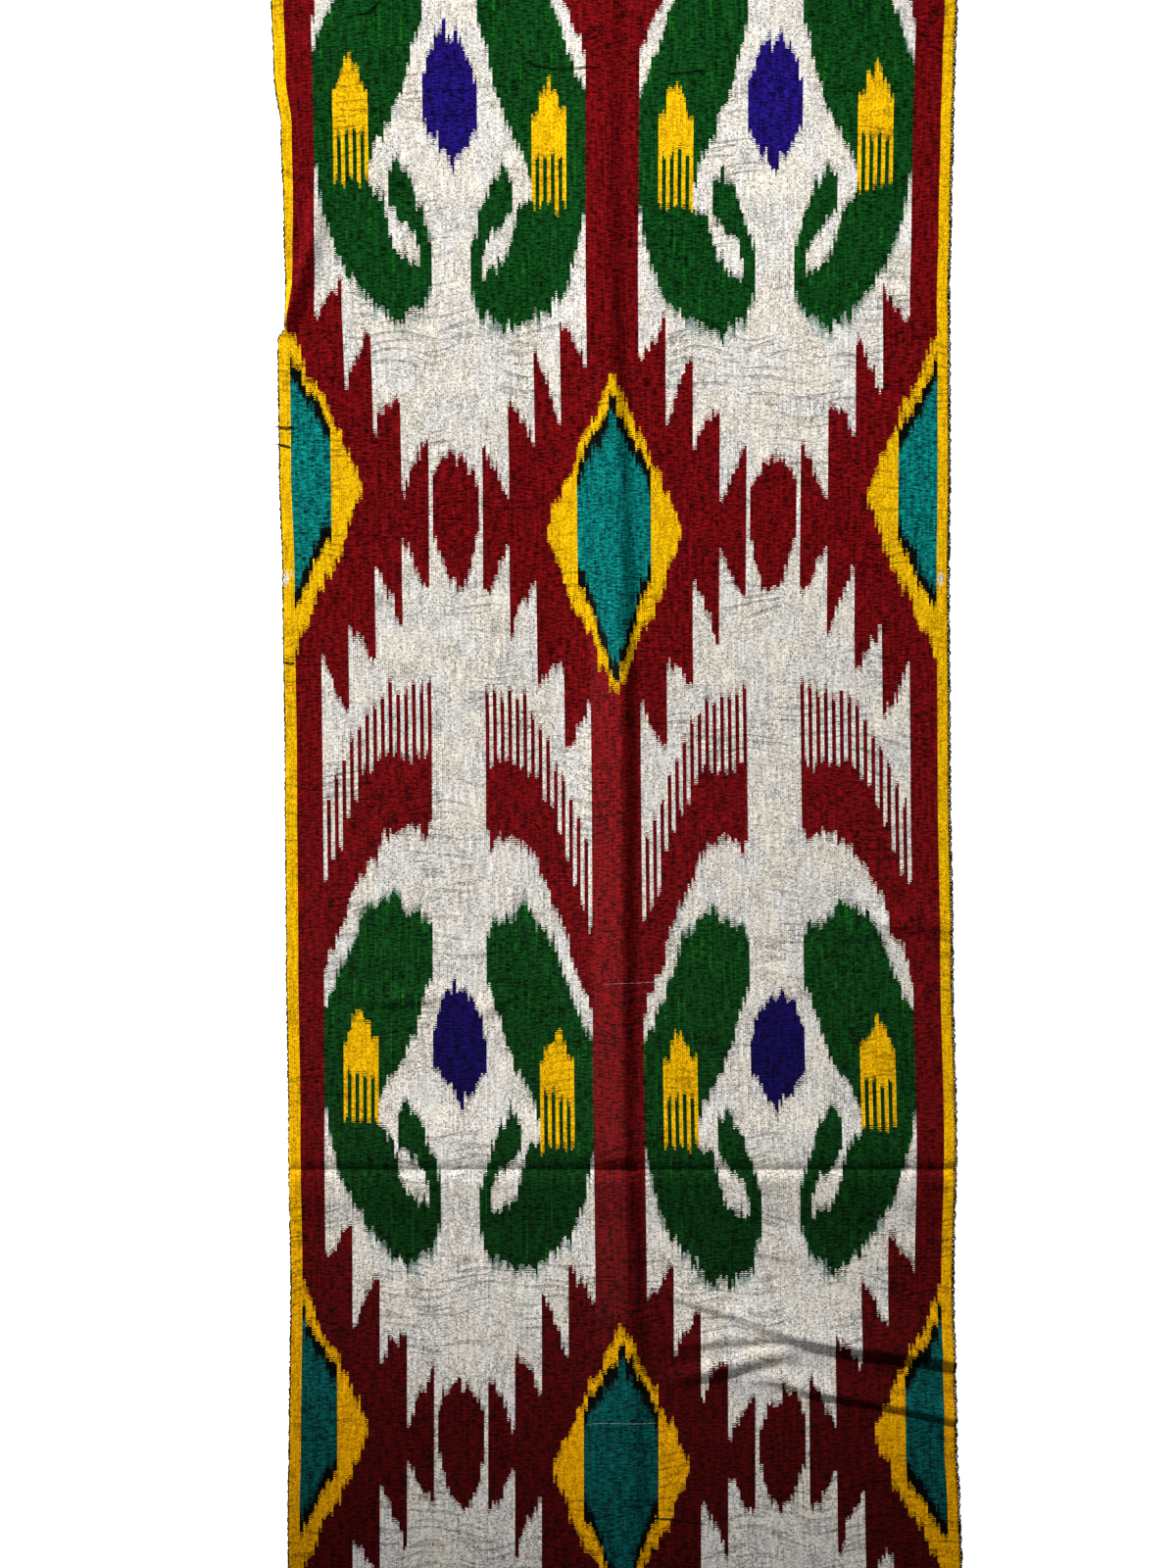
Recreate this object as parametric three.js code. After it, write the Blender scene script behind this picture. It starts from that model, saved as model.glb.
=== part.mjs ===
// A cut length of warp ikat cloth, one loom width wide, lying flat with the creases it was stored in.
// Millimetres, +Z up. X runs across the cloth from selvage to selvage, Y along the warp.
// The origin is under the middle of the cloth, on the surface it lies on.
import * as THREE from "three";

// Driving dimensions
const LENGTH = 1000; // along the warp, from cut end to cut end
const THICKNESS = 1.2; // the cloth with its slack, so that it stays one sound sheet
const END_WAVER = 0.7; // how far each cut end strays from a straight line
const END_WAVES = 2.5; // how many times a cut end strays across the width
const END_FADE = 8; // how fast that straying dies out away from the ends, as a power
const PRESSED = 0.55; // share of a ridge's height that the pressed crease takes out where they cross
const PRESS_REACH = 9; // how far from the pressed crease it does so

// The outline and the long ridge: where the selvages and the ridge's crest lie along the length,
// and how high the crest stands there.
const COURSE = [
  { along: 500, left: -218, crest: -5, right: 215, rise: 2 },
  { along: 449, left: -216.4, crest: -5.5, right: 213.3, rise: 2.2 },
  { along: 415, left: -212, crest: -5.5, right: 212.2, rise: 2.6 },
  { along: 355, left: -210, crest: -5.5, right: 211, rise: 3.2 },
  { along: 305, left: -208.8, crest: -4.5, right: 209.8, rise: 3.5 },
  { along: 289, left: -209.2, crest: -4, right: 210, rise: 3.5 },
  { along: 281, left: -213.8, crest: -3.5, right: 210.2, rise: 3.5 },
  { along: 200, left: -213, crest: 0, right: 210.3, rise: 3.8 },
  { along: 130, left: -210.8, crest: 3, right: 209.7, rise: 4.4 },
  { along: 0, left: -209.3, crest: 4, right: 210.4, rise: 4.8 },
  { along: -110, left: -208.5, crest: 3.5, right: 212, rise: 4.8 },
  { along: -223, left: -207, crest: 3.5, right: 214.3, rise: 4.2 },
  { along: -318, left: -205.8, crest: 9, right: 212.6, rise: 3.4 },
  { along: -418, left: -206.8, crest: 10, right: 214.5, rise: 2.8 },
  { along: -460, left: -207.6, crest: 10.5, right: 216.6, rise: 2.6 },
  { along: -500, left: -207.3, crest: 11, right: 218, rise: 2.4 },
];

// The long ridge, from the cloth's lengthwise fold: soft on the left flank, steeper on the right.
const LONG_RIDGE = { leftReach: 42, rightReach: 17, sharp: 0.55 };

// The crease pressed straight across the cloth: a sharp valley between two low rises.
const PRESSED_CREASE = { along: -244, rise: 2.4, aboveReach: 46, belowReach: 38 };

// Ridges that start or end inside the cloth. A path's points are [across, along], and a ridge
// falls away by its upper reach on the side to the left of its path's run, by its lower reach on
// the other side, and over its taper, a share of its path, at an end that isn't on a selvage.
const RIDGES = [
  { name: "upper flap", height: 5, upper: 34, lower: 11, sharp: 0.6, taper: 0.3, toSelvage: true,
    path: [[20, -316], [52, -331], [82, -340], [122, -355], [156, -360], [216, -363]] },
  { name: "lower flap", height: 4, upper: 22, lower: 9, sharp: 0.6, taper: 0.3, toSelvage: true,
    path: [[62, -366], [112, -369], [148, -381], [172, -391], [216, -400]] },
  { name: "middle rumple", height: 2.2, upper: 13, lower: 12, sharp: 0.2, taper: 0.45,
    path: [[-22, -330], [14, -340], [50, -368]] },
  { name: "left wrinkle", height: 2.4, upper: 14, lower: 8, sharp: 0.5, taper: 0.4,
    path: [[-166, -138], [-147, -137], [-118, -134], [-100, -133]] },
  { name: "inner wrinkle", height: 2.4, upper: 12, lower: 8, sharp: 0.5, taper: 0.4,
    path: [[-94, -152], [-78, -143], [-60, -132]] },
  { name: "right wrinkle", height: 2, upper: 14, lower: 9, sharp: 0.3, taper: 0.4, toSelvage: true,
    path: [[150, -93], [182, -89], [212, -90]] },
  { name: "selvage pucker", height: 4, upper: 12, lower: 8, sharp: 0.5, taper: 0.35, toSelvage: true,
    path: [[-190, 386], [-193, 342], [-201, 318], [-209, 293]] },
];

// How closely the sheet is divided. Across: distance from the ridge's crest towards a selvage, as
// a share of that half's width. Along: distance from the upper cut end.
const ACROSS_STEPS = [
  { until: 0.085, pieces: 3 },
  { until: 0.28, pieces: 4 },
  { until: 0.85, pieces: 5 },
  { until: 1, pieces: 4 },
];
const ALONG_STEPS = [
  { until: 100, pieces: 3 },
  { until: 225, pieces: 9 },
  { until: 585, pieces: 7 },
  { until: 665, pieces: 9 },
  { until: 725, pieces: 4 },
  { until: 744, pieces: 4 },
  { until: 760, pieces: 4 },
  { until: 805, pieces: 4 },
  { until: 910, pieces: 17 },
  { until: LENGTH, pieces: 3 },
];

const cloth = new THREE.MeshStandardMaterial({
  name: "warp ikat cloth",
  color: 0x9a7d62,
  roughness: 0.85,
  metalness: 0,
});

// Eases from 0 to 1, with no corner at either end.
function ease(share) {
  const s = Math.min(1, Math.max(0, share));
  return s * s * (3 - 2 * s);
}

// The value of one column of COURSE at a place along the cloth, eased between its rows.
function courseAt(column, along) {
  let above = COURSE[0];
  for (const row of COURSE) {
    if (row.along <= along) {
      const gap = above.along - row.along;
      const share = gap > 0 ? (above.along - along) / gap : 0;
      return above[column] + (row[column] - above[column]) * ease(share);
    }
    above = row;
  }
  return above[column];
}

// Height of a ridge as a share of its crest: round when sharp is 0, and peaked when it is 1.
function ridgeShape(share, sharp) {
  if (share >= 1) {
    return 0;
  }
  const round = (1 - share * share) ** 2;
  const peaked = (1 - share) ** 2;
  return round + (peaked - round) * sharp;
}

// The rise beside a pressed crease: nothing on the crease and past its reach, 1 at a third of it.
function riseShape(share) {
  const atAThird = 4 / 27;
  return share >= 1 ? 0 : (share * (1 - share) ** 2) / atAThird;
}

// The nearest place on a path: how far off it is, on which side, and how far along it lies.
function nearestOn(path, across, along) {
  const point = new THREE.Vector2(across, along);
  const lengths = [];
  for (let i = 1; i < path.length; i++) {
    lengths.push(Math.hypot(path[i][0] - path[i - 1][0], path[i][1] - path[i - 1][1]));
  }
  const total = lengths.reduce((sum, length) => sum + length, 0);
  let best = { gap: Infinity, upperSide: true, share: 0 };
  let before = 0;
  for (let i = 1; i < path.length; i++) {
    const start = new THREE.Vector2(...path[i - 1]);
    const run = new THREE.Vector2(...path[i]).sub(start);
    const offset = point.clone().sub(start);
    const t = Math.min(1, Math.max(0, offset.dot(run) / run.lengthSq()));
    const gap = offset.clone().addScaledVector(run, -t).length();
    if (gap < best.gap) {
      best = { gap, upperSide: run.cross(offset) > 0, share: (before + t * lengths[i - 1]) / total };
    }
    before += lengths[i - 1];
  }
  return best;
}

// How high the underside of the cloth lies above the surface.
function lift(across, along) {
  const fromCrest = across - courseAt("crest", along);
  const ridgeReach = fromCrest < 0 ? LONG_RIDGE.leftReach : LONG_RIDGE.rightReach;
  const crestShape = ridgeShape(Math.abs(fromCrest) / ridgeReach, LONG_RIDGE.sharp);
  let ridges = courseAt("rise", along) * crestShape;
  for (const ridge of RIDGES) {
    const near = nearestOn(ridge.path, across, along);
    const reach = near.upperSide ? ridge.upper : ridge.lower;
    const fromEnd = ridge.toSelvage ? near.share : Math.min(near.share, 1 - near.share);
    ridges += ridge.height * ease(fromEnd / ridge.taper) * ridgeShape(near.gap / reach, ridge.sharp);
  }
  const fromCrease = along - PRESSED_CREASE.along;
  const riseReach = fromCrease > 0 ? PRESSED_CREASE.aboveReach : PRESSED_CREASE.belowReach;
  const rise = PRESSED_CREASE.rise * riseShape(Math.abs(fromCrease) / riseReach);
  const kept = 1 - PRESSED * ridgeShape(Math.abs(fromCrease) / PRESS_REACH, 0);
  return ridges * kept + rise;
}

// Shares from 0 to 1 that divide a side as a table of steps says.
function divisions(steps, whole) {
  const marks = [0];
  let from = 0;
  for (const { until, pieces } of steps) {
    for (let i = 1; i <= pieces; i++) {
      marks.push((from + ((until - from) * i) / pieces) / whole);
    }
    from = until;
  }
  return marks;
}

// The closed sheet: an upper and a lower skin on the same folds, joined round the edge.
function clothGeometry() {
  const half = divisions(ACROSS_STEPS, 1);
  const columns = [...half.slice(1).reverse().map((share) => -share), ...half];
  const rows = divisions(ALONG_STEPS, LENGTH);
  const positions = [];
  for (const height of [0, THICKNESS]) {
    for (const row of rows) {
      for (const column of columns) {
        const straight = LENGTH / 2 - row * LENGTH;
        const crest = courseAt("crest", straight);
        const selvage = courseAt(column < 0 ? "left" : "right", straight);
        const across = crest + (selvage - crest) * Math.abs(column);
        const waver = (END_WAVER / 2) * (1 - Math.cos(column * END_WAVES * Math.PI));
        const fromMiddle = 1 - 2 * row;
        const along = straight - waver * Math.sign(fromMiddle) * Math.abs(fromMiddle) ** END_FADE;
        positions.push(across, along, lift(across, along) + height);
      }
    }
  }

  const wide = columns.length;
  const skin = wide * rows.length;
  const indices = [];
  const face = (a, b, c, d) => indices.push(a, b, c, a, c, d);
  for (let r = 0; r + 1 < rows.length; r++) {
    for (let c = 0; c + 1 < wide; c++) {
      const a = r * wide + c;
      const b = a + wide;
      face(a, a + 1, b + 1, b);
      face(skin + a, skin + b, skin + b + 1, skin + a + 1);
    }
  }
  for (let c = 0; c + 1 < wide; c++) {
    const end = (rows.length - 1) * wide + c;
    face(c, skin + c, skin + c + 1, c + 1);
    face(end, end + 1, skin + end + 1, skin + end);
  }
  for (let r = 0; r + 1 < rows.length; r++) {
    const left = r * wide;
    const right = left + wide - 1;
    face(left, left + wide, skin + left + wide, skin + left);
    face(right, skin + right, skin + right + wide, right + wide);
  }

  const geometry = new THREE.BufferGeometry();
  geometry.setAttribute("position", new THREE.Float32BufferAttribute(positions, 3));
  geometry.setIndex(indices);
  geometry.computeVertexNormals();
  return geometry;
}

const sheet = new THREE.Mesh(clothGeometry(), cloth);
sheet.name = "ikat_cloth";

const part = new THREE.Group();
part.add(sheet);

export default part;
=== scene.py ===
"""The look of the ikat woven cloth, in metres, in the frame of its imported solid."""

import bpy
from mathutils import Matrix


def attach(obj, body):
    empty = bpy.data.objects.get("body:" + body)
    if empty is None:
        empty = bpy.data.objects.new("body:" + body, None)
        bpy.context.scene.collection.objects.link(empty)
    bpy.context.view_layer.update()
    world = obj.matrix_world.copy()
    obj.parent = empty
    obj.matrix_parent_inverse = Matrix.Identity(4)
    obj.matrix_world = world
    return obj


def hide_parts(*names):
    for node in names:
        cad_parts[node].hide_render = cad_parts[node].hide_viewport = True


bl_info = {
    "name": "Ikat Woven Cloth",
    "version": (1, 0, 0),
    "blender": (4, 5, 0),
    "location": "View3D > Sidebar > Ikat Cloth",
    "description": "Makes a cut length of warp ikat cloth with its folds, dyed warp and loose threads",
    "category": "Object",
}

import math
from collections import namedtuple
from types import SimpleNamespace

import bpy
import numpy as np
from mathutils import Vector, noise

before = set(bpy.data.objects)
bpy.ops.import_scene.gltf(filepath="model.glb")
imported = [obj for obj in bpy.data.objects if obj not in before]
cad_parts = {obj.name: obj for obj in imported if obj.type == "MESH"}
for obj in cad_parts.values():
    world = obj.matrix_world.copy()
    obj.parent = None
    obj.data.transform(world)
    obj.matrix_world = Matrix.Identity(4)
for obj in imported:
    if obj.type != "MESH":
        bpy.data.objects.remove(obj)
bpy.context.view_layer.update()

MM = 0.001

# These tables are in millimetres, across from selvage to selvage and along the warp.

# Where the selvages and the crest of the long ridge lie, and how high the crest stands.
Course = namedtuple("Course", "along left crest right rise")
COURSE = [
    Course(500, -218, -5, 215, 2),
    Course(449, -216.4, -5.5, 213.3, 2.2),
    Course(415, -212, -5.5, 212.2, 2.6),
    Course(355, -210, -5.5, 211, 3.2),
    Course(305, -208.8, -4.5, 209.8, 3.5),
    Course(289, -209.2, -4, 210, 3.5),
    Course(281, -213.8, -3.5, 210.2, 3.5),
    Course(200, -213, 0, 210.3, 3.8),
    Course(130, -210.8, 3, 209.7, 4.4),
    Course(0, -209.3, 4, 210.4, 4.8),
    Course(-110, -208.5, 3.5, 212, 4.8),
    Course(-223, -207, 3.5, 214.3, 4.2),
    Course(-318, -205.8, 9, 212.6, 3.4),
    Course(-418, -206.8, 10, 214.5, 2.8),
    Course(-460, -207.6, 10.5, 216.6, 2.6),
    Course(-500, -207.3, 11, 218, 2.4),
]

# The cloth's flat size, and how far its cut ends waver, how often, and how soon that dies out.
WIDTH, LENGTH = 420, 1000
END_WAVER, END_WAVES, END_FADE = 0.7, 2.5, 8

# The ridge left by the lengthwise fold, and the crease pressed across the cloth. Both lie where the
# solid has them, and the far flank of the ridge and the lips of the crease are steeper.
RIDGE_LEFT, RIDGE_RIGHT, RIDGE_SHARP = 42, 10, 0.2
CREASE_ALONG, CREASE_RISE, CREASE_ABOVE, CREASE_BELOW = -244, 2.4, 46, 38
LIP_RISE, LIP_REACH = 0.9, 15
PRESSED, PRESS_REACH = 0.55, 9

# Ridges that start or end inside the cloth: the solid's, with sharper edges, and three small ones
# round its two flaps. Upper is the left side of the path's run, and a taper is a share of the path.
Ridge = namedtuple("Ridge", "name height upper lower sharp taper to_selvage path")
RIDGES = [
    Ridge("upper flap", 6.6, 34, 9, 0.75, 0.35, True,
          [(58, -331), (86, -340.5), (96, -344), (111, -349), (134, -354), (156, -357), (184, -360),
           (216, -365)]),
    Ridge("upper flap start", 2.7, 13, 4, 0.6, 0.3, False,
          [(18, -317.5), (35, -323.5), (52, -329.5), (72, -335), (86, -341), (100, -346)]),
    Ridge("shelf", 2.4, 14, 5, 0.5, 0.35, False,
          [(30, -356), (54, -353.5), (72, -351.5), (92, -351), (112, -353)]),
    Ridge("arc", 4.4, 8, 8.5, 0.1, 0.35, False,
          [(24, -382), (42, -374.5), (56, -371), (72, -367.5), (90, -362.5), (103, -360.5), (125, -360.5)]),
    Ridge("lower flap", 4.4, 15, 5, 0.5, 0.35, True,
          [(68, -381), (86, -377), (97, -376.5), (110, -379), (122, -384), (139, -386), (156, -389),
           (182, -394), (216, -402)]),
    Ridge("middle rumple", 2.2, 13, 12, 0.2, 0.45, False, [(-22, -330), (14, -340), (50, -368)]),
    Ridge("left wrinkle", 2.4, 13, 4.5, 0.5, 0.4, False,
          [(-166, -138), (-147, -139), (-118, -136), (-100, -133.5)]),
    Ridge("inner wrinkle", 2.4, 11, 4.5, 0.5, 0.4, False,
          [(-94, -150), (-84, -145), (-74, -138), (-60, -132.5)]),
    Ridge("right wrinkle", 2.4, 14, 6.5, 0.3, 0.4, True, [(150, -93), (182, -89), (212, -90)]),
    Ridge("selvage pucker", 4, 12, 7, 0.6, 0.35, True,
          [(-190, 386), (-193, 342), (-201, 318), (-209, 293)]),
]

# Where some of the warps lie, as (along, across). They are counted in bundles from the middle one:
# the last at the edge, the first of the yellow stripe, the middle of a motif, the red band's last.
EDGE, STRIPE, MOTIF, BAND = 87, 84, 42, 7
WARPS = {
    -77: [(496, -193.6), (462, -192.8), (388, -191.3), (299, -191.3), (282, -190.3), (236, -188.5),
          (77, -186.6), (-57, -185.1), (-186, -184.8), (-310, -184.1), (-434, -184)],
    -MOTIF: [(440, -105.6), (310, -104.2), (198, -101.4), (124, -101.2), (37, -99.4), (-62, -99.2),
             (-124, -98.9), (-267, -98.7), (-360, -98), (-422, -98.1)],
    -BAND: [(500, -19.5), (330, -19.5), (0, -15.6), (-180, -14.8), (-310, -13.3)],
    0: [(496, -2.3), (428, -2.3), (372, -2.8), (291, -2.8), (161, -2.5), (62, -0.1), (-62, -0.1),
        (-180, 1.2), (-273, 3), (-329, 3.2), (-422, 4.1)],
    BAND: [(500, 14.9), (330, 13.6), (0, 15.5), (-180, 17.4), (-310, 19.2)],
    MOTIF: [(440, 100.4), (310, 100.1), (198, 99.2), (93, 98.2), (37, 99.2), (-112, 101.1),
            (-167, 101.7), (-267, 104), (-360, 104.8), (-422, 105.1)],
}
# How wide the yellow stripe along a selvage shows: the pucker at the left turns it under.
RIGHT_STRIPE = 7.2
LEFT_STRIPE = [(500, 7.2), (459, 7.2), (388, 6.2), (316, 4), (295, 0.5), (288, 0.5), (282, 6.8), (270, 7.2)]

# The dyer's chart. A row is 0.62 mm and a pick of the weft a little more, and the chart's first row
# lies LEAD rows below the upper end. Bundles are counted from the middle of a motif, so that one
# chart serves each motif's two halves. Between two bundles that are named, the edge of a colour
# runs on evenly, bundle by bundle. NONE_TOP and NONE_FOOT leave a bundle bare.
ROW = 0.62
LEAD = 6.45
REPEAT = 980
PICK = 1.05
NONE_TOP, NONE_FOOT = 980, -190
CHART = {
    "body top": {0: -155, 6: -155, 7: -137, 8: -122, 10: -134, 16: -132, 19: -125, 20: -115, 22: -101,
        24: -87, 26: -79, 28: -57, 29: -37, 31: -23, 33: -6, 34: 15, 35: NONE_TOP},
    "body foot": {0: 457, 2: 461, 4: 472, 5: 482, 6: 560, 7: 448, 10: 471, 13: 500, 14: 405, 18: 415,
        20: 437, 21: 339, 23: 353, 25: 373, 27: 392, 28: 288, 34: 321, 35: NONE_FOOT},
    "crown top": {0: 593, 1: 592, 2: 585, 3: 575, 4: 562, 5: 546, 6: 500, 7: 597, 9: 589, 11: 569,
        13: 554, 14: 645, 16: 612, 18: 597, 20: 579, 21: 678, 23: 664, 25: 650, 27: 641, 28: 727, 30: 712,
        32: 695, 34: 674, 35: NONE_TOP},
    "stripe top": {0: 835, 6: 835, 7: 691, 13: 698, 15: 702, 17: 695, 19: 707, 21: 713, 23: 725, 25: 741,
        27: 755, 29: 773, 31: 790, 33: 808, 35: NONE_FOOT},
    "stripe foot": {0: 835, 6: 835, 8: 772, 20: 772, 22: 791, 24: 791, 26: 814, 28: 833, 30: 862, 32: 878,
        34: 895, 35: NONE_FOOT},
    "green top": {4: NONE_TOP, 5: 240, 6: 227, 7: -35, 8: -47, 13: -52, 16: -69, 24: -52, 26: -33,
        28: -13, 29: 0, 31: 15, 32: 28, 34: 48, 35: NONE_TOP},
    "green foot": {4: NONE_FOOT, 5: 292, 6: 304, 7: 315, 10: 319, 13: 332, 16: 324, 19: 314, 21: 304,
        24: 291, 26: 275, 28: 265, 30: 245, 32: 217, 34: 173, 35: NONE_FOOT},
    "cut top": {6: NONE_TOP, 7: 20, 8: 33, 10: 64, 11: 84, 13: 105, 15: 125, 17: 135, 19: 150, 20: 163,
        21: NONE_TOP},
    "cut foot": {6: NONE_FOOT, 7: 214, 8: 270, 10: 265, 12: 260, 14: 250, 15: 237, 16: 219, 17: 201,
        20: 189, 21: NONE_FOOT},
    "hook top": {4: NONE_TOP, 5: 240, 7: 214, 8: 204, 10: 179, 12: 171, 13: 161, 15: 171, 16: NONE_TOP},
    "hook foot": {4: NONE_FOOT, 5: 280, 7: 260, 8: 250, 9: 237, 11: 230, 13: 222, 15: 209, 16: NONE_FOOT},
    "drop top": {0: 33, 1: 20, 2: 34, 3: 38, 4: 45, 5: 56, 6: 74, 7: NONE_TOP},
    "drop foot": {0: 165, 1: 154, 3: 148, 4: 138, 5: 132, 6: 126, 7: NONE_FOOT},
    "comb top": {20: NONE_TOP, 21: 91, 22: 87, 23: 72, 24: 69, 25: 56, 26: 64, 27: 72, 28: 84, 29: 92,
        30: NONE_TOP},
    "diamond top": {23: NONE_TOP, 24: 535, 25: 524, 27: 507, 29: 488, 31: 473, 33: 450, 35: 440, 37: 423,
        39: 400, 41: 384},
    "diamond foot": {23: NONE_FOOT, 24: 550, 25: 563, 27: 578, 28: 597, 30: 614, 32: 631, 35: 648,
        37: 673, 39: 687, 41: 706},
    "heart top": {31: NONE_TOP, 32: 495, 34: 479, 37: 460, 40: 440, 41: 424},
    "heart foot": {31: NONE_FOOT, 32: 578, 34: 594, 36: 617, 38: 642, 40: 664, 41: 676},
}
CHART_LOW, CHART_SPAN = -200, 1200  # the rows that its curves take in
BODY_START, CROWN_START, DIAMOND_START = -305, 230, 55  # where the repeat of each begins
COMB_BACK, COMB_TEETH = 132, 184  # where a comb's back and its teeth end
HEART_LINE, HEART_FIRST = 20, 32  # how thick the line round a heart is, and its first bundle
SHORT_HEART = 34  # how much sooner the heart of a diamond ends on a selvage than on the middle band
HALO_ABOVE, HALO_BELOW = 5, 10  # how far teal stains the warp round the green
STREAK_REACH = 60  # how far down from the top of the green its streaks are strongest

# How far lower, in rows, the warp of each quarter was tied. On the two inner ones this grows from a
# start to an end over the bundles of SETTLING. Lower down, some bundles slipped less than the rest.
LEFT_START, RIGHT_START, INNER_END, OUTER_RIGHT, INNER_COMB = 8, 12, 45, 7, 26
SETTLING = (13, 33)
LATE_DIAMOND, LATE_HORN, LATE_TOOTH = 13, 12, 18
HORN_LAST, TOOTH_FIRST, TOOTH_LAST = 23, 14, 20
# How the warp slipped towards the lower end, as (row, rows), and how far bundles and threads wandered.
SLIP = [(-10, 0), (995, 0), (1125, 22), (1300, 19), (1406, 30), (1500, 38), (1575, 46), (1620, 48)]
SLIP_SCALE = 100  # how many rows a whole of its curve stands for
BUNDLE_WANDER, THREAD_WANDER = 17, 15

# Rows, from one to another, over which each change comes in. The darkening of the dark dyes towards the lower
# end is painted shade.
HORNS_LATE, TEETH_LATE, DIAMONDS_LATE = (1270, 1310), (1340, 1390), (1050, 1250)
YELLOW_DEEPENS, VIOLET_DARKENS, DARK_DYES_SHADED, DUST_SETTLES = (900, 1560), (400, 1000), (850, 1560), (500, 1000)
# Where the lines of painted shade of fine ripples show most, and where a painted sheen lies on the lit flank
# of the long ridge: the first pair brings it in and the second takes it out, in rows, and in bundles for the
# last.
RIPPLES = [((320, 340), (390, 410)), ((1270, 1300), (1350, 1380)), ((1500, 1530), (1620, 1650))]
SHEEN_ALONG, SHEEN_ACROSS = ((350, 600), (1290, 1400)), ((-8, -6), (0.8, 2.2))

# Factors that make the undyed warp cool or warm, and the yellow deep.
COOL, WARM, DEEP_YELLOW = (0.96, 0.98, 1.02), (1.01, 1.0, 0.965), (1, 0.45, 0.5)

# Marks on the dyed cloth: where, how far they reach across and along, and how strongly they show.
Mark = namedtuple("Mark", "dye bundle row wide tall share")
MARKS = [
    Mark("white", -86.2, 591, 0.9, 9, 0.9),
    Mark("white", -84.8, 585, 0.5, 5, 0.7),
    Mark("white", 85, 591, 1, 9, 0.9),
    Mark("ochre", -27.4, 920, 1.8, 7, 0.3),
]

# The threads along the edges: which side or how far down they are, how they turn, in radians, how
# large the loops are or which end of the weave the ends reach, and the seed of their chance.
Selvage = namedtuple("Selvage", "name side turn size seed")
SELVAGES = [
    Selvage("selvage_left", -1, math.pi, 0.8, 4),
    Selvage("selvage_right", 1, 0, 1.5, 11),
]
CutEnd = namedtuple("CutEnd", "name mark turn reach seed")
CUT_ENDS = [
    CutEnd("cut_end_upper", 0.4, 0, 1, 21),
    CutEnd("cut_end_lower", LENGTH - 0.4, math.pi, 0, 27),
]

# Weft threads that have come loose or been pulled up, as (across, along) points.
Yarn = namedtuple("Yarn", "name dye thick height path")
LOOSE_YARNS = [
    Yarn("float_top", "black", 0.55, 0.6, [(-164.9, 486.7), (-160, 487.4), (-155, 490.2), (-149.5, 495.5)]),
    Yarn("float_left", "black", 0.62, 0.9,
         [(-58.9, 457), (-47.1, 453.5), (-38, 452.8), (-27.9, 452.6), (-18, 453.5), (-9.3, 452.6)]),
    Yarn("float_middle", "black", 0.62, 0.8, [(32.9, 449.2), (44, 450.3), (55.2, 451.7)]),
    Yarn("float_right", "black", 0.45, 0.7, [(176.7, 455.7), (188.5, 455.4)]),
    Yarn("end_upper", "black", 0.8, 0.9, [(-216, 226.2), (-210, 225.6), (-204, 226)]),
    Yarn("end_middle", "black", 0.8, 0.9, [(-215.5, 214.8), (-210, 214.2), (-205.8, 212.8)]),
    Yarn("end_lower", "black", 0.7, 0.8, [(-211.5, 77.2), (-207, 76.6), (-204, 77)]),
    Yarn("pulled_ridge", "white", 0.1, 0.3,
         [(-9.3, -126.5), (3, -126), (13, -125.9), (25.4, -125.2), (34.1, -124)]),
    Yarn("pulled_left", "white", 0.12, 0.3, [(-19.2, -404.9), (-6, -404.1), (10, -404.4), (25.4, -404.2)]),
    Yarn("snag", "black", 0.5, 0.2, [(21.1, -464.4), (33, -465), (45, -466.8), (57, -468.1)]),
]

# The lamps: where each stands and points, in metres, its power as a share of the main lamp's, and
# how many degrees wide and how soft its cone is. The two small ones lift the light in two corners.
Lamp = namedtuple("Lamp", "name place aim share cone blend")
LAMPS = [
    Lamp("main lamp", (-2.61, 2.92, 2.13), (-0.4, 0.47), 1, 18.1, 0.56),
    Lamp("upper right lamp", (0.3, 0.65, 1.5), (0.18, 0.5), 0.016, 27, 1),
    Lamp("lower left lamp", (-0.25, -0.4, 1.5), (-0.14, -0.37), 0.008, 27, 1),
]
LAMP_RADIUS, LAMP_COLOUR, SKY_COLOUR = 0.16, (1, 0.985, 0.96), (0.97, 0.98, 1)
FLOOR_HALF, FLOOR_HEIGHT = 40, -0.0001

# The picture's frame, in pixels that each take in one row of the chart, and the column over the
# cloth's middle.
PICTURE_WIDE, PICTURE_TALL, MIDDLE_COLUMN = 1200, 1600, 629


def ease(share):
    """Runs from 0 to 1 with no corner at either end."""
    s = np.clip(share, 0, 1)
    return s * s * (3 - 2 * s)


def course_at(column, along):
    """A column of COURSE at places along the cloth, eased between its rows."""
    rows = sorted(COURSE, key=lambda row: row.along)
    marks = np.array([row.along for row in rows], float)
    values = np.array([getattr(row, column) for row in rows], float)
    after = np.clip(np.searchsorted(marks, along), 1, len(marks) - 1)
    share = ease((along - marks[after - 1]) / (marks[after] - marks[after - 1]))
    return values[after - 1] + (values[after] - values[after - 1]) * share


def ridge_shape(share, sharp):
    """Height of a ridge as a share of its crest: round when sharp is 0, and peaked when it is 1."""
    s = np.clip(share, 0, 1)
    rounded, peaked = (1 - s * s) ** 2, (1 - s) ** 2
    return rounded + (peaked - rounded) * sharp


def rise_shape(share):
    """The rise beside a pressed crease: nothing on the crease and past its reach, 1 at a third of it."""
    s = np.clip(share, 0, 1)
    at_a_third = 4 / 27
    return s * (1 - s) ** 2 / at_a_third


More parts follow.
